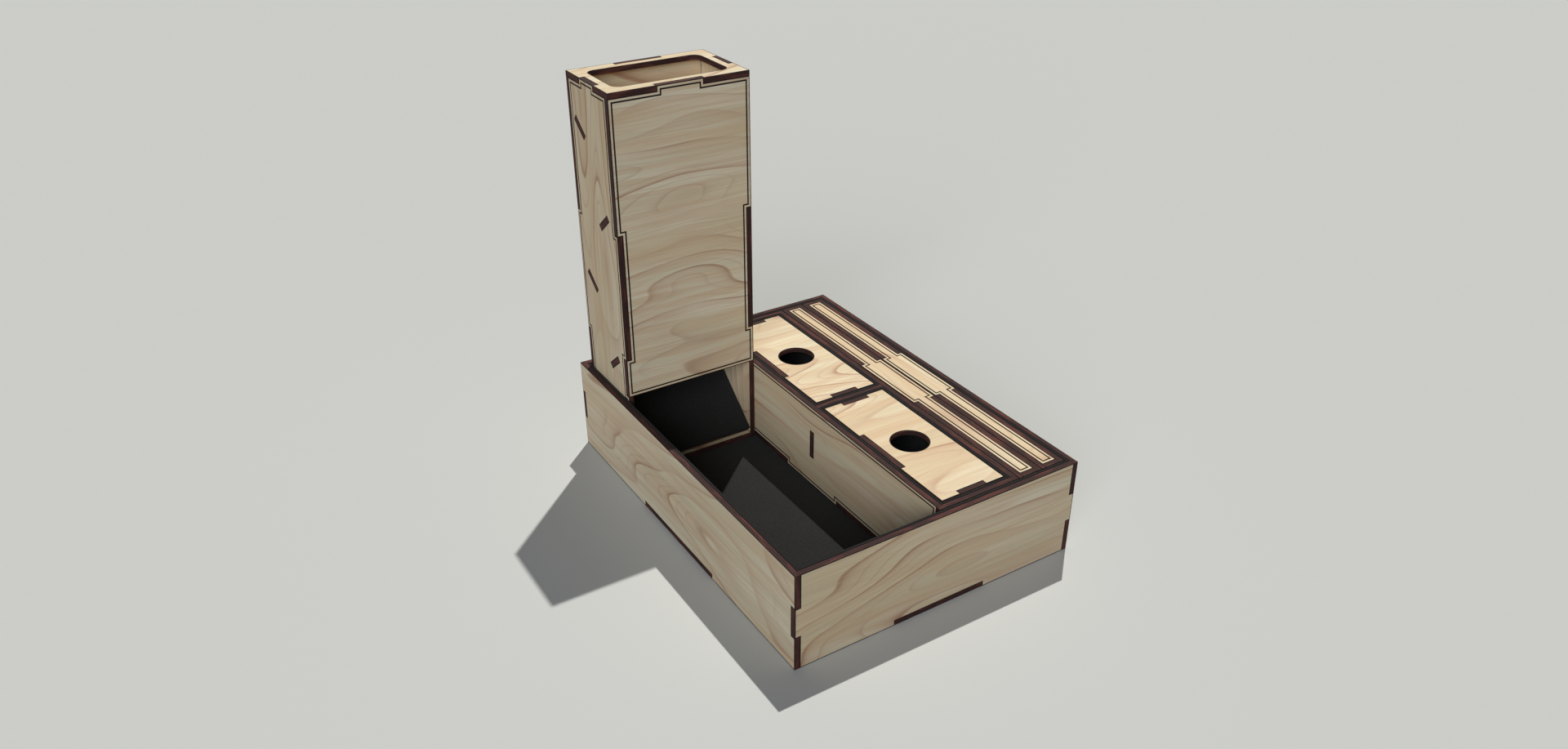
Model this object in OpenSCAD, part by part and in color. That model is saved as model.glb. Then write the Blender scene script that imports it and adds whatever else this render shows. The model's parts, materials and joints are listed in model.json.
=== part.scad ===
// Dice chest cut from thin plywood sheet: a felt-lined rolling tray with a dice tower,
// a cabinet of two drawers and two slim cases. The tower, cabinet and cases lift out.
// Frame: origin at the middle of the chest's underside, +X right, +Y back, +Z up.

/* [Sheets] */
// Thickness of the plywood
ply = 3; // [2.5:0.1:3.5]
// Thickness of the felt
felt = 2; // [1:0.1:2.5]
// Free play round each piece that lifts or slides out
play = 0.3; // [0.2:0.05:0.5]
// Width that the cutting beam burns away round a tenon's slot
kerf = 0.1; // [0.05:0.01:0.2]

/* [Bays] */
// Length of the bays, front to back
bay_l = 234; // [220:1:260]
// Depth of the bays, from the floor felt to the rim
bay_h = 53; // [49:1:60]
// Width of the rolling tray
tray_w = 85; // [75:1:110]
// Width of the cabinet's bay
cabinet_bay_w = 53; // [50:1:70]
// Width of each slim case's bay
case_bay_w = 16; // [12:1:24]

/* [Chest joints] */
// Length of the walls' corner fingers
chest_corner_tab = 18; // [10:1:24]
// Length of the floor's tabs through the front and back walls
chest_end_tab = 58; // [20:1:80]
// Length of the floor's tabs through the side walls
chest_side_tab = 79; // [20:1:120]

/* [Tower] */
// Height of the exit below the front panel
exit_h = 54.5; // [35:0.5:60]
// Length of the fingers along the tower's upright edges
tower_edge_tab = 76; // [40:1:84]
// Length of the tabs of the front and back panels
tower_front_tab = 28; // [14:1:34]
// Length of the tabs of the side panels' ends
tower_side_tab = 17.5; // [10:0.5:22]
// Width of the wood round the mouth
mouth_margin = 8; // [6:0.5:12]
// Radius of the mouth's corners
mouth_r = 5; // [2:0.5:9]

/* [Baffles] */
// Slope of the baffles, in degrees
baffle_slope = 39; // [34:1:44]
// Reach of the baffles that leave the front panel
front_reach = 26; // [20:0.5:27]
// Reach of the baffles that leave the back panel
back_reach = 21; // [20:0.5:27]
// Rise of the lowest baffle's middle above the exit
first_rise = 16; // [14:0.5:24]
// Drop from the tower's top to the middle of the highest baffle
top_drop = 28; // [22:0.5:36]
// Extra step up to the highest baffle
top_step = 4.5; // [0:0.5:8]
// Length of the baffles' tenons
baffle_tenon = 13.5; // [8:0.5:15]
// Slope of the exit ramp, in degrees
ramp_slope = 40; // [32:1:42]
// Length of the ramp's tenons
ramp_tenon = 27; // [12:1:34]

/* [Cabinet and cases] */
// Length of the long edges' tabs
long_tab = 53; // [30:1:80]
// Length of the short edges' tabs
short_tab = 17; // [10:1:20]

/* [Drawers] */
// Length of the drawer's tabs through its face, on the long side
drawer_tab = 37; // [20:1:60]
// Diameter of the finger hole
finger_hole_d = 21.5; // [16:0.5:26]

/* [Hidden] */
$fn = 64;
wood = "Wheat";
black = "#262626";

// Overrun of every cut past the face that it opens
cut = 1;
// Sheet and felt together
lining = ply + felt;

// The chest goes round its bays
chest_w = tray_w + cabinet_bay_w + 2 * case_bay_w + 2 * lining;
chest_l = bay_l + 2 * lining;
chest_h = bay_h + lining;

// Each loose module fills its bay but for the play
module_l = bay_l - 2 * play;
module_h = bay_h - play;
cabinet_w = cabinet_bay_w - 2 * play;
case_w = case_bay_w - 2 * play;

// The tower is as tall as the tray is long and as deep as it is high, so it also lies in it
tower_w = tray_w - 2 * play;
tower_d = bay_h - 2 * play;
tower_h = bay_l - 2 * play;
tower_step = (tower_h - tower_edge_tab) / 2;

// Numbered from the lowest baffle up, the even ones leave the front panel
baffle_count = 4;
first_baffle_h = exit_h + first_rise;
baffle_pitch = (tower_h - top_drop - top_step - first_baffle_h) / (baffle_count - 1);
function leaves_back(i) = i % 2 == 1;
function reach(i) = leaves_back(i) ? back_reach : front_reach;
function baffle_y(i) = leaves_back(i) ? tower_d - ply - back_reach / 2 : ply + front_reach / 2;
function baffle_z(i) = first_baffle_h + i * baffle_pitch + (i == baffle_count - 1 ? top_step : 0);
function baffle_turn(i) = leaves_back(i) ? baffle_slope : -baffle_slope;
function baffle_l(i) = (reach(i) - ply * sin(baffle_slope)) / cos(baffle_slope) - 2 * kerf;

// The ramp's lower edge stands on the base, its upper edge at the back panel
ramp_foot = lining * sin(ramp_slope) + play;
ramp_l = (tower_d - ply - play - ramp_foot) / cos(ramp_slope);

// Each drawer fills its half of the cabinet but for the felt and the play
drawer_bay_l = (module_l - 3 * ply) / 2;
drawer_w = cabinet_w - 2 * lining - 2 * play;
drawer_l = drawer_bay_l - 2 * felt - 2 * play;
drawer_h = module_h - ply - play;

// Edges of a panel: plain, with a middle tab between stepped-back ends, or with a middle notch
plain = [0, 0];
function tab(length) = [1, length];
function notch(length) = [-1, length];
stepped_back = tab(0);

// What an edge takes off a panel that lies above the X axis, over a run from the origin
module edge_cut(edge, run) {
    step = (run - edge[1]) / 2;
    if (edge[0] > 0) {
        translate([-cut, -cut]) square([step + cut, ply + cut]);
        translate([run - step, -cut]) square([step + cut, ply + cut]);
    }
    if (edge[0] < 0) translate([step, -cut]) square([edge[1], ply + cut]);
}

// Flat panel of one sheet with its edges, less the holes given as children
module panel(size, bottom, right, top, left) {
    linear_extrude(ply) difference() {
        square(size);
        edge_cut(bottom, size[0]);
        translate([size[0], 0]) rotate(90) edge_cut(right, size[1]);
        translate(size) rotate(180) edge_cut(top, size[0]);
        translate([0, size[1]]) rotate(-90) edge_cut(left, size[1]);
        children();
    }
}

// Stands a flat panel up across the chest, its X kept and its Y turned up
module across(y = 0) translate([0, y + ply, 0]) rotate([90, 0, 0]) children();

// Stands a flat panel up along the chest, its X turned to the back and its Y turned up
module along(x = 0) translate([x, 0, 0]) rotate([90, 0, 90]) children();

// Rectangle with round corners
module rounded_rectangle(size, r) {
    translate([r, 0]) square([size[0] - 2 * r, size[1]]);
    translate([0, r]) square([size[0], size[1] - 2 * r]);
    for (x = [r, size[0] - r], y = [r, size[1] - r]) translate([x, y]) circle(r);
}

// Places of the modules, from each one's front left bottom corner
module in_chest() translate([-chest_w / 2, -chest_l / 2, 0]) children();
module in_bay(x) in_chest() translate([lining + x + play, lining + play, lining + play]) children();
module in_tower() in_bay(0) translate([0, module_l - tower_d, 0]) children();
module in_cabinet() in_bay(tray_w) children();
module in_inner_case() in_bay(tray_w + cabinet_bay_w) children();
module in_outer_case() in_bay(tray_w + cabinet_bay_w + case_bay_w) children();
module in_front_bay() in_cabinet() translate([ply, ply, ply]) children();
module in_back_bay() in_front_bay() translate([0, drawer_bay_l + ply, 0]) children();
module in_front_drawer() in_front_bay() translate([felt + play, felt + play, play]) children();
module in_back_drawer() in_back_bay() translate([felt + play, felt + play, play]) children();

// Chest: the side walls own the corners, the floor's tabs come through all four walls
module chest_floor() color(wood) in_chest()
    panel([chest_w, chest_l], tab(chest_end_tab), tab(chest_side_tab),
        tab(chest_end_tab), tab(chest_side_tab));

module chest_end_wall(y) color(wood) in_chest() across(y)
    panel([chest_w, chest_h], notch(chest_end_tab), tab(chest_corner_tab),
        plain, tab(chest_corner_tab));

module chest_side_wall(x) color(wood) in_chest() along(x)
    panel([chest_l, chest_h], notch(chest_side_tab), notch(chest_corner_tab),
        plain, notch(chest_corner_tab));

module chest_front_wall() chest_end_wall(0);
module chest_back_wall() chest_end_wall(chest_l - ply);
module chest_left_wall() chest_side_wall(0);
module chest_right_wall() chest_side_wall(chest_w - ply);

module floor_felt() color(black) in_chest()
    translate([ply, ply, ply]) cube([chest_w - 2 * ply, chest_l - 2 * ply, felt]);

module end_wall_felt(y) color(black) in_chest()
    translate([lining, y, lining]) cube([chest_w - 2 * lining, felt, bay_h]);

module side_wall_felt(x) color(black) in_chest()
    translate([x, ply, lining]) cube([felt, chest_l - 2 * ply, bay_h]);

module front_wall_felt() end_wall_felt(ply);
module back_wall_felt() end_wall_felt(chest_l - lining);
module left_wall_felt() side_wall_felt(ply);
module right_wall_felt() side_wall_felt(chest_w - lining);

// Tower: the top plate and the base own the ends, the front and back panels the upright edges
module tower_base() color(wood) in_tower()
    panel([tower_w, tower_d], plain, notch(tower_side_tab),
        notch(tower_front_tab), notch(tower_side_tab));

module tower_top_plate() color(wood) in_tower() translate([0, 0, tower_h - ply])
    panel([tower_w, tower_d], notch(tower_front_tab), notch(tower_side_tab),
        notch(tower_front_tab), notch(tower_side_tab))
        translate([mouth_margin, mouth_margin])
            rounded_rectangle([tower_w - 2 * mouth_margin, tower_d - 2 * mouth_margin], mouth_r);

// Front or back panel of the tower, open below the height given
module tower_end_panel(open_h) panel([tower_w, tower_h], tab(tower_front_tab),
    notch(tower_edge_tab), tab(tower_front_tab), notch(tower_edge_tab))
        if (open_h > 0) translate([-cut, -cut]) square([tower_w + 2 * cut, open_h + cut]);

module tower_front_panel() color(wood) in_tower() across() tower_end_panel(exit_h);
module tower_back_panel() color(wood) in_tower() across(tower_d - ply) tower_end_panel(0);

// Side panel: flush with the front beside the exit, with a slot for each tenon
module tower_side_panel(x) color(wood) in_tower() along(x)
    panel([tower_d, tower_h], tab(tower_side_tab), tab(tower_edge_tab), tab(tower_side_tab), plain) {
        translate([-cut, exit_h]) square([ply + cut, tower_step - exit_h]);
        translate([-cut, tower_h - tower_step]) square([ply + cut, tower_step + cut]);
        for (i = [0 : baffle_count - 1])
            translate([baffle_y(i), baffle_z(i)]) rotate(baffle_turn(i)) slot(baffle_tenon);
        translate([ramp_foot, ply + play]) rotate(ramp_slope)
            translate([ramp_l / 2, ply / 2]) slot(ramp_tenon);
    }

module slot(tenon) square([tenon + kerf, ply + kerf], center = true);

module tower_left_panel() tower_side_panel(0);
module tower_right_panel() tower_side_panel(tower_w - ply);

// Sloping sheet across the tower, centred on the X axis, its tenons flush with the outsides
module tower_shelf(length, tenon) translate([0, 0, -ply / 2]) linear_extrude(ply) {
    translate([ply, -length / 2]) square([tower_w - 2 * ply, length]);
    translate([0, -tenon / 2]) square([tower_w, tenon]);
}

module baffle(i) color(wood) in_tower() translate([0, baffle_y(i), baffle_z(i)])
    rotate([baffle_turn(i), 0, 0]) tower_shelf(baffle_l(i), baffle_tenon);

module lower_front_baffle() baffle(0);
module lower_back_baffle() baffle(1);
module upper_front_baffle() baffle(2);
module upper_back_baffle() baffle(3);

// Places what lies on the ramp's slope, from the middle of the ramp's sheet
module on_ramp() in_tower() translate([0, ramp_foot, ply + play]) rotate([ramp_slope, 0, 0])
    translate([0, ramp_l / 2, ply / 2]) children();

module exit_ramp() color(wood) on_ramp() tower_shelf(ramp_l, ramp_tenon);

module exit_ramp_felt() color(black) on_ramp()
    translate([ply, -ramp_l / 2, ply / 2]) cube([tower_w - 2 * ply, ramp_l - lining, felt]);

// Cabinet: the floor owns the bottom edges and the end plates own the upright corners
module cabinet_floor() color(wood) in_cabinet()
    panel([cabinet_w, module_l], notch(short_tab), notch(long_tab), notch(short_tab), notch(long_tab));

module cabinet_end_plate(y) color(wood) in_cabinet() across(y)
    panel([cabinet_w, module_h], tab(short_tab), notch(short_tab), plain, notch(short_tab));

module cabinet_side_plate(x) color(wood) in_cabinet() along(x)
    panel([module_l, module_h], tab(long_tab), tab(short_tab), plain, tab(short_tab))
        translate([module_l / 2, (module_h + ply) / 2]) rotate(90) slot(short_tab);

module cabinet_front_plate() cabinet_end_plate(0);
module cabinet_back_plate() cabinet_end_plate(module_l - ply);
module cabinet_left_plate() cabinet_side_plate(0);
module cabinet_right_plate() cabinet_side_plate(cabinet_w - ply);

module cabinet_divider() color(wood) in_cabinet() across((module_l - ply) / 2)
    linear_extrude(ply) {
        translate([ply, ply]) square([cabinet_w - 2 * ply, module_h - ply]);
        translate([0, (module_h + ply - short_tab) / 2]) square([cabinet_w, short_tab]);
    }

// Felt round one drawer's bay, from the bay's front left bottom corner
module bay_side_felt(x) color(black) translate([x, 0, 0]) cube([felt, drawer_bay_l, module_h - ply]);
module bay_end_felt(y) color(black) translate([felt, y, 0])
    cube([cabinet_w - 2 * lining, felt, module_h - ply]);

module front_bay_left_felt() in_front_bay() bay_side_felt(0);
module front_bay_right_felt() in_front_bay() bay_side_felt(cabinet_w - 2 * ply - felt);
module front_bay_front_felt() in_front_bay() bay_end_felt(0);
module front_bay_back_felt() in_front_bay() bay_end_felt(drawer_bay_l - felt);
module back_bay_left_felt() in_back_bay() bay_side_felt(0);
module back_bay_right_felt() in_back_bay() bay_side_felt(cabinet_w - 2 * ply - felt);
module back_bay_front_felt() in_back_bay() bay_end_felt(0);
module back_bay_back_felt() in_back_bay() bay_end_felt(drawer_bay_l - felt);

// Drawer, stowed with its face up and its open top to the right, from its lowest corner
module drawer_end() panel([drawer_w, drawer_l], notch(short_tab), plain, notch(short_tab), notch(drawer_tab))
    children();

module drawer_face() color(wood) translate([0, 0, drawer_h - ply]) drawer_end()
    translate([drawer_w / 2, drawer_l / 2]) circle(d = finger_hole_d);

module drawer_rear() color(wood) drawer_end();

module drawer_bottom() color(wood) along()
    panel([drawer_l, drawer_h], tab(drawer_tab), notch(short_tab), tab(drawer_tab), notch(short_tab));

module drawer_wall(y) color(wood) across(y)
    panel([drawer_w, drawer_h], tab(short_tab), plain, tab(short_tab), tab(short_tab));

module drawer_front_wall() drawer_wall(0);
module drawer_back_wall() drawer_wall(drawer_l - ply);

// Felt on the drawer's bottom, its two walls and its rear
module drawer_felt() color(black) translate([ply, ply, ply]) {
    inner_l = drawer_l - 2 * ply;
    inner_h = drawer_h - 2 * ply;
    wall_w = drawer_w - lining;
    cube([felt, inner_l, inner_h]);
    translate([felt, 0, 0]) cube([wall_w, inner_l, felt]);
    translate([felt, 0, felt]) cube([wall_w, felt, inner_h - felt]);
    translate([felt, inner_l - felt, felt]) cube([wall_w, felt, inner_h - felt]);
}

module front_drawer_face() in_front_drawer() drawer_face();
module front_drawer_bottom() in_front_drawer() drawer_bottom();
module front_drawer_front_wall() in_front_drawer() drawer_front_wall();
module front_drawer_back_wall() in_front_drawer() drawer_back_wall();
module front_drawer_rear() in_front_drawer() drawer_rear();
module front_drawer_felt() in_front_drawer() drawer_felt();
module back_drawer_face() in_back_drawer() drawer_face();
module back_drawer_bottom() in_back_drawer() drawer_bottom();
module back_drawer_front_wall() in_back_drawer() drawer_front_wall();
module back_drawer_back_wall() in_back_drawer() drawer_back_wall();
module back_drawer_rear() in_back_drawer() drawer_rear();
module back_drawer_felt() in_back_drawer() drawer_felt();

// Slim case: the broad plates own the corners, the strips' tabs come through them
module case_plate(x) color(wood) along(x)
    panel([module_l, module_h], notch(long_tab), notch(short_tab), notch(long_tab), notch(short_tab));

module case_strip(z) color(wood) translate([0, 0, z])
    panel([case_w, module_l], stepped_back, tab(long_tab), stepped_back, tab(long_tab));

module case_end(y) color(wood) across(y)
    panel([case_w, module_h], plain, tab(short_tab), plain, tab(short_tab));

module inner_case_left_plate() in_inner_case() case_plate(0);
module inner_case_right_plate() in_inner_case() case_plate(case_w - ply);
module inner_case_top_strip() in_inner_case() case_strip(module_h - ply);
module inner_case_bottom_strip() in_inner_case() case_strip(0);
module inner_case_front_end() in_inner_case() case_end(0);
module inner_case_back_end() in_inner_case() case_end(module_l - ply);
module outer_case_left_plate() in_outer_case() case_plate(0);
module outer_case_right_plate() in_outer_case() case_plate(case_w - ply);
module outer_case_top_strip() in_outer_case() case_strip(module_h - ply);
module outer_case_bottom_strip() in_outer_case() case_strip(0);
module outer_case_front_end() in_outer_case() case_end(0);
module outer_case_back_end() in_outer_case() case_end(module_l - ply);

chest_floor();
chest_front_wall();
chest_back_wall();
chest_left_wall();
chest_right_wall();
floor_felt();
front_wall_felt();
back_wall_felt();
left_wall_felt();
right_wall_felt();
tower_base();
tower_front_panel();
tower_back_panel();
tower_left_panel();
tower_right_panel();
tower_top_plate();
lower_front_baffle();
lower_back_baffle();
upper_front_baffle();
upper_back_baffle();
exit_ramp();
exit_ramp_felt();
cabinet_floor();
cabinet_front_plate();
cabinet_back_plate();
cabinet_left_plate();
cabinet_right_plate();
cabinet_divider();
front_bay_left_felt();
front_bay_right_felt();
front_bay_front_felt();
front_bay_back_felt();
back_bay_left_felt();
back_bay_right_felt();
back_bay_front_felt();
back_bay_back_felt();
front_drawer_face();
front_drawer_bottom();
front_drawer_front_wall();
front_drawer_back_wall();
front_drawer_rear();
front_drawer_felt();
back_drawer_face();
back_drawer_bottom();
back_drawer_front_wall();
back_drawer_back_wall();
back_drawer_rear();
back_drawer_felt();
inner_case_left_plate();
inner_case_right_plate();
inner_case_top_strip();
inner_case_bottom_strip();
inner_case_front_end();
inner_case_back_end();
outer_case_left_plate();
outer_case_right_plate();
outer_case_top_strip();
outer_case_bottom_strip();
outer_case_front_end();
outer_case_back_end();
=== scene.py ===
"""Looks of a chest for dice: laser-cut birch plywood with scorched edges, lined with black felt.

Every length is in metres and every piece lies where its CAD node lies.
"""

import json

import bpy
import numpy as np
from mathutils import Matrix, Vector
from mathutils.geometry import delaunay_2d_cdt

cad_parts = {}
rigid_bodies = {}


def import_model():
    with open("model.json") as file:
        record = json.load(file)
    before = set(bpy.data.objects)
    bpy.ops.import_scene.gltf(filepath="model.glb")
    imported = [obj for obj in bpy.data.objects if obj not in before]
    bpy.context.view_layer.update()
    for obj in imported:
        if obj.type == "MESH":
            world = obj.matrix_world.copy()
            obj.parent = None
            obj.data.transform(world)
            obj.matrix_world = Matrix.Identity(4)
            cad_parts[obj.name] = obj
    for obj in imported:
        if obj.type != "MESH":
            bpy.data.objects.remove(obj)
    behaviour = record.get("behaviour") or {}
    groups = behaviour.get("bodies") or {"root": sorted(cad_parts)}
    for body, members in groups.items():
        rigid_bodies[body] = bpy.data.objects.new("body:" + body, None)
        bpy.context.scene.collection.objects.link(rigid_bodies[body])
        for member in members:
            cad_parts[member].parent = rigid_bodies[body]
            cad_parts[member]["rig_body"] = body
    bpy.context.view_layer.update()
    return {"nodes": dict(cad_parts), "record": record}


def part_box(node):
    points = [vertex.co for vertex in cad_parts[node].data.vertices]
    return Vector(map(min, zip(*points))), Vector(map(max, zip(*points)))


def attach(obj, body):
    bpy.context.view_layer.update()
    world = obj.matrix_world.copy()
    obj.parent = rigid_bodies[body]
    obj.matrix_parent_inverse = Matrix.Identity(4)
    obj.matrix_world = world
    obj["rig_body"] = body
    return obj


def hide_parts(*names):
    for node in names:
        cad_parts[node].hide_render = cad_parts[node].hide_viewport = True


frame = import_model()

MM = 0.001
UP = np.array([0.0, 0.0, 1.0])
CHEST_AXES = np.eye(3)

# The laser rounds each edge of the plywood a little
ARRIS = 0.14 * MM
# The engraved border: its distance from the outline, its width and its depth
BORDER_IN = 2.2 * MM
BORDER_W = 0.7 * MM
BORDER_D = 0.25 * MM
# Width of the strip of faces beside a cut or an engraved line
STRIP = 0.56 * MM
# Thickness of the felt and roundness of its cut edges
FELT = 2 * MM
FELT_R = 0.7 * MM
# Steps of the roundness
FELT_STEPS = 5
# Faces whose normals' cosine is above this lie on one side of a sheet
SAME_SIDE = 0.999
# Sine of the least turn that makes a corner of an outline
LEAST_TURN = 1e-3
# Edges sharper than this many degrees stay sharp when a piece is shaded
SHARP_FROM = 28
# Blender's number for the triangles inside an outline, and its tolerance in millimetres
CDT_INSIDE = 1
CDT_NEAR = 1e-6

# Plates with an engraved border
BORDERED = {
    "tower_front_panel",
    "tower_back_panel",
    "tower_left_panel",
    "tower_right_panel",
    "cabinet_left_plate",
    "cabinet_right_plate",
    "inner_case_left_plate",
    "inner_case_right_plate",
    "inner_case_top_strip",
    "inner_case_bottom_strip",
    "outer_case_left_plate",
    "outer_case_right_plate",
    "outer_case_top_strip",
    "outer_case_bottom_strip",
}
# Plates whose grain runs across the chest and not along their longest side
CROSS_GRAIN = {"tower_front_panel", "tower_back_panel", "front_drawer_face", "back_drawer_face"}
# Plates whose part of the grain is chosen, as how far off it lies along and across, in metres
CHOSEN_GRAIN = {
    "chest_front_wall": (-2.55, 1.21),
    "cabinet_left_plate": (-2.44, 1.24),
    "front_drawer_face": (-2.22, 1.2),
}


# Outlines of the plates


def walk_round(start, following):
    """Corners in order from start. The walk doubles in length until it comes back to its start."""
    walk = np.array([start])
    while not (walk[1:] == start).any():
        walk = np.concatenate([walk, following[walk]])
        following = following[following]
    return walk[: 1 + np.flatnonzero(walk[1:] == start)[0]]


def unit(rows):
    """Each row divided by its length."""
    return rows / np.linalg.norm(rows, axis=-1, keepdims=True)


def broad_side(node, outward):
    """A sheet's outer side: its normal, its height along that normal, the sheet's thickness and
    the loops of corners round it, with the wood on the left of each edge.

    Triangles are sorted by their normals, the two commonest by area are the broad sides, and an
    edge that only one triangle of the side uses is on a loop.
    """
    mesh = frame["nodes"][node].data
    mesh.calc_loop_triangles()
    corners = np.empty(len(mesh.loop_triangles) * 3, np.int32)
    mesh.loop_triangles.foreach_get("vertices", corners)
    places = np.empty(len(mesh.vertices) * 3, np.float32)
    mesh.vertices.foreach_get("co", places)
    places, merged = np.unique(
        places.reshape(-1, 3).astype(float).round(6) + 0.0, axis=0, return_inverse=True
    )
    triangles = merged.ravel()[corners].reshape(-1, 3)
    a, b, c = places[triangles].transpose(1, 0, 2)
    across = np.cross(b - a, c - a)
    areas = np.linalg.norm(across, axis=1)
    facing = across / areas[:, None]
    kinds, kind = np.unique(facing.round(3) + 0.0, axis=0, return_inverse=True)
    broad = kinds[np.argsort(np.bincount(kind.ravel(), areas))[-2:]]
    rough_normal = broad[np.argmax(broad @ outward)]
    chosen = facing @ rough_normal > SAME_SIDE
    side = triangles[chosen]
    normal = unit(across[chosen].sum(0))
    starts = side.ravel()
    ends = np.roll(side, -1, axis=1).ravel()
    lone = ~np.isin(starts * len(places) + ends, ends * len(places) + starts)
    following = np.arange(len(places))
    following[starts[lone]] = ends[lone]
    left_over = starts[lone]
    loops = []
    while len(left_over):
        loop = walk_round(left_over[0], following)
        left_over = left_over[~np.isin(left_over, loop)]
        loops.append(places[loop])
    heights = places @ normal
    return normal, heights.max(), np.ptp(heights), loops


def straightened(loop):
    """The loop without the corners at which its edges don't turn."""
    ahead = unit(np.roll(loop, -1, 0) - loop)
    behind = np.roll(ahead, 1, 0)
    turn = behind[:, 0] * ahead[:, 1] - behind[:, 1] * ahead[:, 0]
    return loop[np.abs(turn) > LEAST_TURN]


def moved_in(loop, by):
    """The loop moved into the wood: each corner goes to where its two edges' parallels meet."""
    ahead = unit(np.roll(loop, -1, 0) - loop)
    behind = np.roll(ahead, 1, 0)
    bend = (ahead * behind).sum(1, keepdims=True)
    both = ahead + behind
    return loop + by * np.stack([-both[:, 1], both[:, 0]], 1) / (1 + bend)


# Solid sheets from their outlines


def profile_of_wood(thickness, bordered):
    """The way over a plate's edge, as (distance in, depth): over the engraved groove, whose
    floor is a third of its width, round the arris, down the cut and round the other arris."""
    half = BORDER_W / 2
    groove = [
        (BORDER_IN + half + STRIP, 0),
        (BORDER_IN + half, 0),
        (BORDER_IN + half / 3, BORDER_D),
        (BORDER_IN - half / 3, BORDER_D),
        (BORDER_IN - half, 0),
    ]
    plain = [(ARRIS + STRIP, 0), (ARRIS, 0)]
    wall = [(0, ARRIS), (0, thickness - ARRIS)]
    under = [(ARRIS, thickness), (ARRIS + STRIP, thickness)]
    return np.array((groove if bordered else []) + plain + wall + under)


def profile_of_felt(thickness, _):
    """The way over a felt's edge, as (distance in, depth): a quarter round of radius FELT_R,
    (1 - sin t, 1 - cos t) for t from 0 to 90 degrees, at each side of a plain cut."""
    turn = np.linspace(0, np.pi / 2, FELT_STEPS)
    top = np.stack([FELT_R * (1 - np.sin(turn)), FELT_R * (1 - np.cos(turn))], 1)
    start = [(2.5 * FELT_R, 0.02 * MM), (1.6 * FELT_R, 0)]
    bottom = top[::-1] * (1, -1) + (0, thickness)
    end = [(1.6 * FELT_R, thickness), (2.5 * FELT_R, thickness)]
    return np.concatenate([start, top, bottom, end])


def solid_sheet(outline, holes, axes, height, thickness, profile, bordered, shift):
    """Corners, faces and the two maps of a closed sheet.

    A ring is the outline moved in by the profile's distance and down by its depth. Rings are
    joined by bands of four-sided faces, and the first and last rings are closed by flat caps.
    The map Grain holds the place on the sheet. The map Rim holds the distance from the cut,
    which is less than nothing down the cut itself, and the way along the outline.
    """
    along, across, normal = axes
    places, quads, rims, caps_top, caps_bottom = [], [], [], [], []
    first = 0
    for number, loop in enumerate([outline] + holes):
        rings = profile(thickness, bordered and number == 0)
        flat = np.stack([moved_in(loop, step[0]) for step in rings])
        lifted = flat @ np.stack([along, across]) + (height - rings[:, 1])[:, None, None] * normal
        places.append(lifted.reshape(-1, 3))
        steps, size = flat.shape[:2]
        ids = first + np.arange(steps * size).reshape(steps, size)
        ahead = np.roll(ids, -1, 1)
        quads.append(np.stack([ids[:-1], ids[1:], ahead[1:], ahead[:-1]], -1).reshape(-1, 4))
        run = np.concatenate([[0], np.linalg.norm(np.roll(loop, -1, 0) - loop, axis=1).cumsum()])
        read = np.where(rings[:, 0] > 0, rings[:, 0], -rings[:, 1])
        near = np.broadcast_to(read[:-1, None], (steps - 1, size))
        far = np.broadcast_to(read[1:, None], (steps - 1, size))
        here = np.broadcast_to(run[:-1], (steps - 1, size))
        there = np.broadcast_to(run[1:], (steps - 1, size))
        rims.append(
            np.stack([near, here, far, here, far, there, near, there], -1).reshape(-1, 2)
        )
        caps_top.append((flat[0], ids[0]))
        caps_bottom.append((flat[-1], ids[-1]))
        first += steps * size
    fans = [closed_cap(caps_top, 1), closed_cap(caps_bottom, -1)]
    for fan, read in zip(fans, profile(thickness, bordered)[[0, -1], 0]):
        rims.append(np.stack([np.full(fan.size, read), np.zeros(fan.size)], 1))
    places = np.concatenate(places)
    quads = np.concatenate(quads)
    order = np.concatenate([quads.ravel(), fans[0].ravel(), fans[1].ravel()])
    grain = np.stack([places[order] @ along, places[order] @ across], 1) + shift
    return places, quads, np.concatenate(fans), grain, np.concatenate(rims)


def closed_cap(loops, up):
    """Triangles that fill the first loop less the others, facing up for 1 and down for -1.

    Each hole bulges outward all round, so a triangle with its corners on one hole lies in it.
    """
    ids = np.concatenate([ids for _, ids in loops])
    flat = np.concatenate([flat for flat, _ in loops])
    sizes = [len(ids) for _, ids in loops]
    firsts = np.cumsum([0] + sizes[:-1])
    rims = [first + np.arange(size) for first, size in zip(firsts, sizes)]
    walls = np.concatenate([np.stack([rim, np.roll(rim, -1)], 1) for rim in rims])
    corners = [Vector(corner) for corner in (flat / MM).tolist()]
    _, _, triangles, sources, _, _ = delaunay_2d_cdt(
        corners, walls.tolist(), [], CDT_INSIDE, CDT_NEAR
    )
    fan = np.array([source[0] for source in sources])[np.array(triangles)]
    loop_of = np.repeat(np.arange(len(loops)), sizes)[fan]
    fan = fan[(loop_of != loop_of[:, :1]).any(1) | (loop_of[:, 0] == 0)]
    a, b, c = flat[fan].transpose(1, 0, 2)
    turn = (b - a)[:, 0] * (c - a)[:, 1] - (b - a)[:, 1] * (c - a)[:, 0]
    wrong = np.sign(turn) != up
    fan[wrong] = fan[wrong][:, ::-1]
    return ids[fan]


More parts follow.
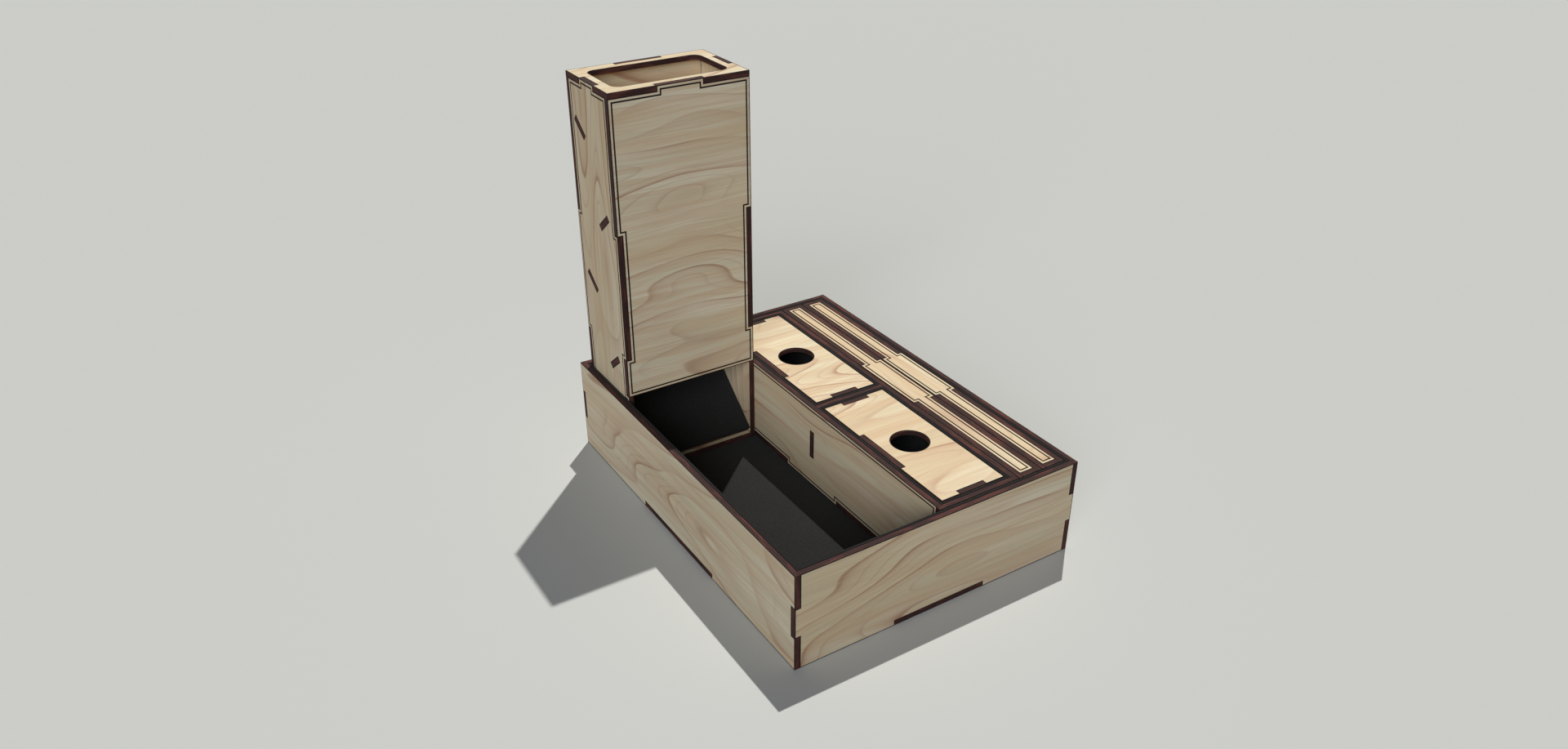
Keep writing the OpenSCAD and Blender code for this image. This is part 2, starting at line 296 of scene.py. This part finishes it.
def make_piece(name, parts, material, tone):
    """One object from several solid sheets, with their maps and a tone for the whole piece."""
    places, quads, fans, grain, rims = zip(*parts)
    offsets = np.cumsum([0] + [len(p) for p in places[:-1]])
    faces, grains, edges = [], [], []
    for offset, four, three, where, rim in zip(offsets, quads, fans, grain, rims):
        faces += (four + offset).tolist() + (three + offset).tolist()
        grains.append(where)
        edges.append(rim)
    mesh = bpy.data.meshes.new(name)
    mesh.from_pydata(np.concatenate(places).tolist(), [], faces)
    for title, values in (("Grain", grains), ("Rim", edges)):
        layer = mesh.uv_layers.new(name=title)
        layer.uv.foreach_set("vector", np.concatenate(values).astype(np.float32).ravel())
    mesh.attributes.new("Tone", "FLOAT", "POINT").data.foreach_set(
        "value", np.full(len(mesh.vertices), tone, np.float32)
    )
    mesh.shade_smooth()
    mesh.set_sharp_from_angle(angle=np.radians(SHARP_FROM))
    mesh.materials.append(material)
    piece = bpy.data.objects.new(name, mesh)
    bpy.context.scene.collection.objects.link(piece)
    return piece


# Shader nodes


def feed(tree, node, feeds):
    """Links or sets a node's inputs. A feed is a socket to link or a plain value to set."""
    for place, value in feeds.items():
        if isinstance(value, bpy.types.NodeSocket):
            tree.links.new(value, node.inputs[place])
        else:
            node.inputs[place].default_value = value


def add(tree, kind, feeds=None, **settings):
    """A new node with its feeds and settings."""
    made = tree.nodes.new(kind)
    for setting, value in settings.items():
        setattr(made, setting, value)
    feed(tree, made, feeds or {})
    return made


def sums(tree, operation, *terms):
    """Output of a Math node."""
    return add(tree, "ShaderNodeMath", dict(enumerate(terms)), operation=operation).outputs[0]


def stretched(tree, place, x, y, z=1.0):
    """A place multiplied by three numbers, so that a pattern on it is 1/x long and 1/y wide."""
    feeds = {0: place, 1: (x, y, z)}
    return add(tree, "ShaderNodeVectorMath", feeds, operation="MULTIPLY").outputs[0]


def in_mm(tree, place):
    """A place in millimetres."""
    return stretched(tree, place, 1 / MM, 1 / MM, 1 / MM)


def moved(tree, place, by):
    """A place plus another."""
    return add(tree, "ShaderNodeVectorMath", {0: place, 1: by}, operation="ADD").outputs[0]


def centred(tree, colour):
    """A noise colour less its mean, as a way to go."""
    return moved(tree, colour, (-0.5, -0.5, -0.5))


def noise(tree, place, scale=1.0, detail=2.0, roughness=0.5, output=0):
    """Output of a Noise node."""
    feeds = {"Vector": place, "Scale": scale, "Detail": detail, "Roughness": roughness}
    return add(tree, "ShaderNodeTexNoise", feeds).outputs[output]


def rise(tree, value, low, high, bottom=0.0, top=1.0):
    """A soft step: bottom below low, top above high."""
    feeds = {0: value, 1: low, 2: high, 3: bottom, 4: top}
    made = add(tree, "ShaderNodeMapRange", feeds, interpolation_type="SMOOTHSTEP")
    return made.outputs[0]


def mixed(tree, share, first, second):
    """Output of a colour Mix node, whose colour sockets are its seventh and eighth."""
    feeds = {0: share, 6: first, 7: second}
    return add(tree, "ShaderNodeMix", feeds, data_type="RGBA").outputs[2]


def effect(name, takes, gives):
    """A new shader node group with its sockets: returns it, its inputs and its outlet."""
    tree = bpy.data.node_groups.new(name, "ShaderNodeTree")
    for title, kind in takes.items():
        tree.interface.new_socket(title, in_out="INPUT", socket_type="NodeSocket" + kind)
    for title, kind in gives.items():
        tree.interface.new_socket(title, in_out="OUTPUT", socket_type="NodeSocket" + kind)
    return tree, tree.nodes.new("NodeGroupInput").outputs, tree.nodes.new("NodeGroupOutput").inputs


def placed(tree, group, feeds):
    """A group placed in a material."""
    made = tree.nodes.new("ShaderNodeGroup")
    made.node_tree = group
    feed(tree, made, feeds)
    return made.outputs


def rgb(red, green, blue):
    """A colour written in 0 to 255 steps, as a linear colour."""
    steps = np.array([red, green, blue]) / 255
    linear = np.where(steps > 0.04045, ((steps + 0.055) / 1.055) ** 2.4, steps / 12.92)
    return (*linear.tolist(), 1.0)


# Birch face. Patterns are in millimetres: the first number of a stretch is along the grain


def ring_dark(tree, rings, sharpness):
    """How dark the late wood is: it grows slowly through each ring and ends at the next."""
    part = sums(tree, "FRACT", rings)
    grown = sums(tree, "POWER", sums(tree, "MULTIPLY", part, 1.07), sharpness)
    return sums(tree, "MULTIPLY", grown, rise(tree, part, 0.93, 1.0, 1.0, 0.0))


def birch_grain():
    """Growth rings cut at a low angle, long soft bands of tone, fibres along the grain and short
    pores. Tone makes the whole piece paler or warmer."""
    takes = {"Place": "Vector", "Tone": "Float"}
    gives = {"Colour": "Color", "Relief": "Float", "Fibre": "Float"}
    tree, inputs, outlet = effect("Birch grain", takes, gives)
    place = in_mm(tree, inputs["Place"])
    drift = centred(tree, noise(tree, stretched(tree, place, 0.012, 0.03), output=1))
    bent = moved(tree, place, stretched(tree, drift, 10, 7, 0))
    across = add(tree, "ShaderNodeSeparateXYZ", {0: bent}).outputs[1]
    hill = noise(tree, stretched(tree, bent, 0.0062, 0.019), detail=1.0, roughness=0.35)
    # How many growth rings lie below the face: slow hills on a steady slope across the grain
    rings = sums(tree, "MULTIPLY_ADD", hill, 9.0, sums(tree, "MULTIPLY", across, 0.035))
    late = ring_dark(tree, rings, 2.6)
    line = ring_dark(tree, rings, 16.0)
    hair = ring_dark(tree, sums(tree, "MULTIPLY", rings, 3.0), 9.0)
    shown = rise(tree, noise(tree, stretched(tree, place, 0.009, 0.03, 3.0), detail=1.0), 0.4, 0.6)
    fibre = noise(tree, stretched(tree, bent, 0.022, 1.3), detail=4.0, roughness=0.62)
    ribbon = noise(tree, stretched(tree, bent, 0.008, 0.26, 7.0), detail=2.0)
    pores = noise(tree, stretched(tree, bent, 0.22, 3.4), detail=1.0)
    pore = rise(tree, pores, 0.66, 0.76)
    cloud = noise(tree, stretched(tree, bent, 0.0045, 0.045), detail=3.0, roughness=0.55)
    warm = rise(tree, sums(tree, "ADD", cloud, inputs["Tone"]), 0.32, 0.68)
    wood = mixed(tree, warm, rgb(246, 234, 205), rgb(235, 213, 174))
    leaf = noise(tree, stretched(tree, bent, 0.006, 0.06, 5.0), detail=2.0)
    wood = mixed(tree, rise(tree, leaf, 0.43, 0.66, 0.0, 0.5), wood, rgb(222, 213, 180))
    wood = mixed(tree, rise(tree, ribbon, 0.44, 0.6, 0.0, 0.5), wood, rgb(225, 194, 154))
    wood = mixed(tree, sums(tree, "MULTIPLY", late, 0.4), wood, rgb(208, 166, 132))
    thread = sums(tree, "MULTIPLY_ADD", hair, 0.32, sums(tree, "MULTIPLY", line, 0.6))
    wood = mixed(tree, sums(tree, "MULTIPLY", thread, shown), wood, rgb(168, 117, 92))
    streak = rise(tree, fibre, 0.4, 0.66, 0.0, 0.5)
    wood = mixed(tree, streak, wood, rgb(217, 188, 149))
    wood = mixed(tree, sums(tree, "MULTIPLY", pore, 0.16), wood, rgb(168, 122, 82))
    relief = sums(tree, "SUBTRACT", fibre, sums(tree, "MULTIPLY", pore, 0.6))
    tree.links.new(wood, outlet["Colour"])
    tree.links.new(relief, outlet["Relief"])
    tree.links.new(fibre, outlet["Fibre"])
    return tree


# Marks of the laser


def scorch():
    """Dark char at the cut and in the engraved line, brown smoke beside them, and the cut itself
    with its three layers of wood, the glue between them and the marks of the beam."""
    gives = {"Char": "Float", "Smoke": "Float", "Cut": "Float", "Cut colour": "Color",
             "Relief": "Float"}
    tree, inputs, outlet = effect("Laser scorch", {"Rim": "Vector"}, gives)
    parts = add(tree, "ShaderNodeSeparateXYZ", {0: in_mm(tree, inputs["Rim"])})
    inward, run = parts.outputs[0], parts.outputs[1]
    shake = add(tree, "ShaderNodeCombineXYZ", {0: run, 1: inward})
    wander = noise(tree, stretched(tree, shake.outputs[0], 0.5, 0.2), detail=2.0)
    # Both distances are less by what the char's own width leaves over: see char below
    from_cut = sums(tree, "MULTIPLY_ADD", wander, 0.2, sums(tree, "SUBTRACT", inward, 0.22))
    line = sums(tree, "ABSOLUTE", sums(tree, "SUBTRACT", inward, BORDER_IN / MM))
    from_line = sums(tree, "SUBTRACT", line, BORDER_W / MM / 2 - 0.34)
    nearest = sums(tree, "MINIMUM", from_cut, from_line)
    char = rise(tree, nearest, 0.36, 0.54, 1.0, 0.0)
    patchy = rise(tree, noise(tree, stretched(tree, shake.outputs[0], 0.09, 0.3)), 0.3, 0.7, 0.3, 1)
    smoke = sums(tree, "MULTIPLY", rise(tree, nearest, 0.3, 0.6, 1.0, 0.0), patchy)
    cut = rise(tree, inward, -0.10, 0.0, 1.0, 0.0)
    beam = noise(tree, stretched(tree, shake.outputs[0], 4.0, 0.35), detail=3.0, roughness=0.6)
    blotch = noise(tree, stretched(tree, shake.outputs[0], 0.06, 0.3), detail=2.0)
    # Distance from the middle of the 3 mm sheet
    middle = sums(tree, "ABSOLUTE", sums(tree, "ADD", inward, 1.5))
    core = rise(tree, middle, 0.5, 0.66, 1.0, 0.0)
    from_glue = sums(tree, "ABSOLUTE", sums(tree, "SUBTRACT", middle, 0.58))
    glue = sums(tree, "SUBTRACT", 1.0, rise(tree, from_glue, 0.03, 0.12))
    lip = rise(tree, middle, 1.12, 1.34, 0.0, 0.85)
    burnt = mixed(tree, rise(tree, beam, 0.3, 0.7), rgb(40, 22, 19), rgb(68, 36, 31))
    burnt = mixed(tree, rise(tree, blotch, 0.46, 0.68, 0.0, 0.65), burnt, rgb(116, 63, 54))
    burnt = mixed(tree, sums(tree, "MULTIPLY", core, 0.35), burnt, rgb(36, 20, 19))
    burnt = mixed(tree, lip, burnt, rgb(20, 12, 11))
    burnt = mixed(tree, sums(tree, "MULTIPLY", glue, 0.5), burnt, rgb(30, 19, 18))
    relief = sums(tree, "SUBTRACT", beam, sums(tree, "MULTIPLY", glue, 0.3))
    for title, socket in zip(gives, (char, smoke, cut, burnt, relief)):
        tree.links.new(socket, outlet[title])
    return tree


# Felt's face


def felt_pile():
    """Matted fibres in every direction, with paler ones on top."""
    tree, inputs, outlet = effect(
        "Felt pile", {"Place": "Vector"}, {"Colour": "Color", "Relief": "Float"}
    )
    place = in_mm(tree, inputs["Place"])
    swirl = centred(tree, noise(tree, place, 0.35, output=1))
    bent = moved(tree, place, stretched(tree, swirl, 2.4, 2.4, 2.4))
    strands = [noise(tree, stretched(tree, bent, *way), detail=2.0, roughness=0.6)
               for way in ((0.5, 2.8, 2.8), (2.8, 0.5, 2.8), (2.8, 2.8, 0.5))]
    matted = sums(tree, "MAXIMUM", sums(tree, "MAXIMUM", *strands[:2]), strands[2])
    patch = noise(tree, place, 0.05, detail=1.0)
    shade = sums(tree, "MULTIPLY_ADD", patch, 0.12, matted)
    colour = mixed(tree, rise(tree, shade, 0.48, 0.9), rgb(31, 31, 31), rgb(50, 50, 49))
    tree.links.new(colour, outlet["Colour"])
    tree.links.new(matted, outlet["Relief"])
    return tree


def new_material(name):
    """An empty material: returns it, its tree and its Principled shader."""
    material = bpy.data.materials.new(name)
    material.use_nodes = True
    return material, material.node_tree, material.node_tree.nodes["Principled BSDF"]


def birch_plywood(grain, burn):
    """Birch plywood as the laser leaves it."""
    material, tree, shader = new_material("Laser-cut birch plywood")
    place = add(tree, "ShaderNodeUVMap", uv_map="Grain").outputs[0]
    rim = add(tree, "ShaderNodeUVMap", uv_map="Rim").outputs[0]
    tone = add(tree, "ShaderNodeAttribute", attribute_name="Tone").outputs["Fac"]
    wood = placed(tree, grain, {"Place": place, "Tone": tone})
    edge = placed(tree, burn, {"Rim": rim})
    smoke = sums(tree, "MULTIPLY", edge["Smoke"], 0.5)
    smoky = mixed(tree, smoke, wood["Colour"], rgb(178, 134, 92))
    charred = mixed(tree, edge["Char"], smoky, rgb(20, 12, 11))
    colour = mixed(tree, edge["Cut"], charred, edge["Cut colour"])
    rough = sums(tree, "MULTIPLY_ADD", wood["Fibre"], 0.16, 0.50)
    rough = rise(tree, edge["Char"], 0.0, 1.0, rough, 0.8)
    marks = sums(tree, "MULTIPLY", edge["Relief"], 3.0)
    height = sums(tree, "MULTIPLY_ADD", edge["Cut"], marks, wood["Relief"])
    feeds = {"Height": height, "Strength": 0.35, "Distance": 0.05 * MM}
    bump = add(tree, "ShaderNodeBump", feeds)
    tree.links.new(colour, shader.inputs["Base Color"])
    tree.links.new(rough, shader.inputs["Roughness"])
    tree.links.new(bump.outputs[0], shader.inputs["Normal"])
    shader.inputs["Specular IOR Level"].default_value = 0.3
    return material


def black_felt(pile):
    """Black felt, singed along its cuts, with a little light caught by its fibres."""
    material, tree, shader = new_material("Black felt")
    place = add(tree, "ShaderNodeTexCoord").outputs["Object"]
    rim = add(tree, "ShaderNodeUVMap", uv_map="Rim").outputs[0]
    inward = add(tree, "ShaderNodeSeparateXYZ", {0: in_mm(tree, rim)}).outputs[0]
    singed = rise(tree, inward, 0.3, 0.9, 1.0, 0.0)
    matted = placed(tree, pile, {"Place": place})
    colour = mixed(tree, singed, matted["Colour"], rgb(25, 21, 20))
    feeds = {"Height": matted["Relief"], "Strength": 0.8, "Distance": 0.25 * MM}
    bump = add(tree, "ShaderNodeBump", feeds)
    tree.links.new(colour, shader.inputs["Base Color"])
    tree.links.new(bump.outputs[0], shader.inputs["Normal"])
    shader.inputs["Roughness"].default_value = 0.95
    shader.inputs["Specular IOR Level"].default_value = 0.1
    shader.inputs["Sheen Weight"].default_value = 0.1
    shader.inputs["Sheen Roughness"].default_value = 0.6
    return material


PLYWOOD_LOOK = birch_plywood(birch_grain(), scorch())
FELT_LOOK = black_felt(felt_pile())


# Sheets in the places of their nodes


def middle(node):
    """Centre of a node's box."""
    low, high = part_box(node)
    return (np.array(low) + np.array(high)) / 2


def sheet_axes(node, normal, corners):
    """Grain direction, the direction across it and the normal: the grain runs along the longest
    of the chest's directions laid flat on the sheet."""
    flat = CHEST_AXES - (CHEST_AXES @ normal)[:, None] * normal
    lengths = np.ptp(corners @ flat.T, axis=0)
    along = CHEST_AXES[0] if node in CROSS_GRAIN else flat[np.argmax(lengths)]
    along = unit(along)
    return along, np.cross(normal, along), normal


def cut_sheet(node, outward, profile, bordered, shift):
    """One closed sheet in the place of a node that is cut from flat sheet."""
    normal, height, thickness, loops = broad_side(node, outward)
    axes = sheet_axes(node, normal, np.concatenate(loops))
    flat = [straightened(loop @ np.stack(axes[:2]).T) for loop in loops]
    flat.sort(key=lambda loop: -np.ptp(loop, axis=0).prod())
    return solid_sheet(flat[0], flat[1:], axes, height, thickness, profile, bordered, shift)


def felt_box(low, high, thin):
    """One closed slab of felt that fills a box and is thin along the axis given."""
    normal = CHEST_AXES[thin]
    along = CHEST_AXES[(thin + 1) % 3]
    across = CHEST_AXES[(thin + 2) % 3]
    ends = np.array([low, high])
    x, y = ends @ along, ends @ across
    outline = np.array([[x[0], y[0]], [x[1], y[0]], [x[1], y[1]], [x[0], y[1]]])
    thickness = high[thin] - low[thin]
    axes = (along, across, normal)
    return solid_sheet(outline, [], axes, high[thin], thickness, profile_of_felt, False, (0, 0))


def finish_piece(piece, node):
    """The piece takes its node's place and rides on its node's body."""
    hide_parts(node)
    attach(piece, frame["nodes"][node]["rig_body"])


bodies = frame["record"]["behaviour"]["bodies"]
felts = [node for node in frame["nodes"] if node.endswith("_felt")]
spread = np.random.default_rng(7)

# Plywood: each plate has its own part of the grain, up to 3 m away, and its own tone
for members in bodies.values():
    heart = np.mean([middle(node) for node in members], axis=0)
    for node in (member for member in members if member not in felts):
        outward = middle(node) - heart
        shift = CHOSEN_GRAIN.get(node, spread.uniform(-3, 3, 2).round(2))
        part = cut_sheet(node, outward, profile_of_wood, node in BORDERED, shift)
        piece = make_piece(node + "_plywood", [part], PLYWOOD_LOOK, spread.uniform(-0.1, 0.1))
        finish_piece(piece, node)


# Felt


def lining_of_drawer(node):
    """The drawer's lining as four slabs in the shape of one cut folded up from the bottom into the
    rear and the two walls, with that cut's flat size and its area.
    """
    low, high = (np.array(corner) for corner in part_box(node))
    past = low + (FELT, 0, 0)
    slabs = [
        felt_box(low, (low[0] + FELT, high[1], high[2]), 0),
        felt_box(past, (high[0], high[1], low[2] + FELT), 2),
        felt_box(past + (0, 0, FELT), (high[0], low[1] + FELT, high[2]), 1),
        felt_box((past[0], high[1] - FELT, low[2] + FELT), high, 1),
    ]
    size = high - low
    side = size[0] - FELT
    flat = (size[1] + 2 * side, size[2] + side)
    area = size[1] * (size[2] + side) + 2 * side * (size[2] - FELT)
    return slabs, flat, area


for node in felts:
    if node.endswith("_drawer_felt"):
        slabs, flat, area = lining_of_drawer(node)
        piece = make_piece(node + "_lining", slabs, FELT_LOOK, 0)
    else:
        part = cut_sheet(node, UP, profile_of_felt, False, (0, 0))
        piece = make_piece(node + "_sheet", [part], FELT_LOOK, 0)
        loops = broad_side(node, UP)[-1]
        sides = np.linalg.norm(np.diff(loops[0], axis=0), axis=1)
        flat, area = (float(sides.min()), float(sides.max())), None
    finish_piece(piece, node)


# Studio: a plain pale floor, a dim even sky, a key lamp, a wide fill lamp and the camera

FLOOR = rgb(206, 207, 203)
# Half the floor's side
FLOOR_REACH = 9
# The sky past the floor's far edge, as the camera sees it: the tone of the lit floor
SKY_SHOWN = rgb(203, 205, 200)
# The floor's colour for the light that it throws back on the object
FLOOR_BOUNCE = (0.13, 0.142, 0.142, 1.0)
# The sky's colour for the light that it throws on the object
SKY_LIGHT = (0.012, 0.013, 0.014, 1.0)


def shown_plainly(tree):
    """1 for what shows to the camera, in gloss or through glass, and 0 for thrown light."""
    path = add(tree, "ShaderNodeLightPath").outputs
    mirrored = sums(tree, "MAXIMUM", path["Is Glossy Ray"], path["Is Transmission Ray"])
    return sums(tree, "MAXIMUM", path["Is Camera Ray"], mirrored)


floor_mesh = bpy.data.meshes.new("Studio floor")
floor_corners = [(-1, -1, 0), (1, -1, 0), (1, 1, 0), (-1, 1, 0)]
floor_mesh.from_pydata((np.array(floor_corners) * FLOOR_REACH).tolist(), [], [(0, 1, 2, 3)])
floor = bpy.data.objects.new("Studio_floor", floor_mesh)
bpy.context.scene.collection.objects.link(floor)
floor_material, floor_tree, floor_shader = new_material("Studio floor")
floor_colour = mixed(floor_tree, shown_plainly(floor_tree), FLOOR_BOUNCE, FLOOR)
floor_tree.links.new(floor_colour, floor_shader.inputs["Base Color"])
floor_shader.inputs["Roughness"].default_value = 0.9
floor_shader.inputs["Specular IOR Level"].default_value = 0.0
floor_mesh.materials.append(floor_material)

world = bpy.data.worlds.new("Studio sky")
world.use_nodes = True
bpy.context.scene.world = world
sky = world.node_tree
sky_colour = mixed(sky, shown_plainly(sky), SKY_LIGHT, SKY_SHOWN)
sky.links.new(sky_colour, sky.nodes["Background"].inputs["Color"])


def lamp(name, travel, energy, colour, angle):
    """A far lamp: the way its light travels, its strength and how wide it looks, in degrees."""
    made = bpy.data.objects.new(name, bpy.data.lights.new(name, "SUN"))
    made.data.energy = energy
    made.data.color = colour
    made.data.angle = np.radians(angle)
    made.rotation_euler = Vector(travel).to_track_quat("-Z", "Y").to_euler()
    bpy.context.scene.collection.objects.link(made)


lamp("Key_light", (-0.328, -0.298, -0.897), 2.63, (1.0, 0.985, 0.955), 0.7)
lamp("Fill_light", (0.64, 0.64, -0.40), 1.73, (0.945, 0.99, 1.07), 40)

CAMERA_PLACE = Vector((-0.32578, -0.48530, 0.41075))
CAMERA_AIM = Vector((0.46521, 0.73579, -0.49213))
# Both in millimetres
SENSOR_WIDTH = 36
LENS = 27.24
camera = bpy.data.objects.new("Camera", bpy.data.cameras.new("Camera"))
camera.data.sensor_fit = "HORIZONTAL"
camera.data.sensor_width = SENSOR_WIDTH
camera.data.lens = LENS
camera.data.clip_start = 0.01
camera.location = CAMERA_PLACE
camera.rotation_euler = CAMERA_AIM.to_track_quat("-Z", "Y").to_euler()
bpy.context.scene.collection.objects.link(camera)
bpy.context.scene.camera = camera
bpy.context.scene.view_settings.view_transform = "Standard"
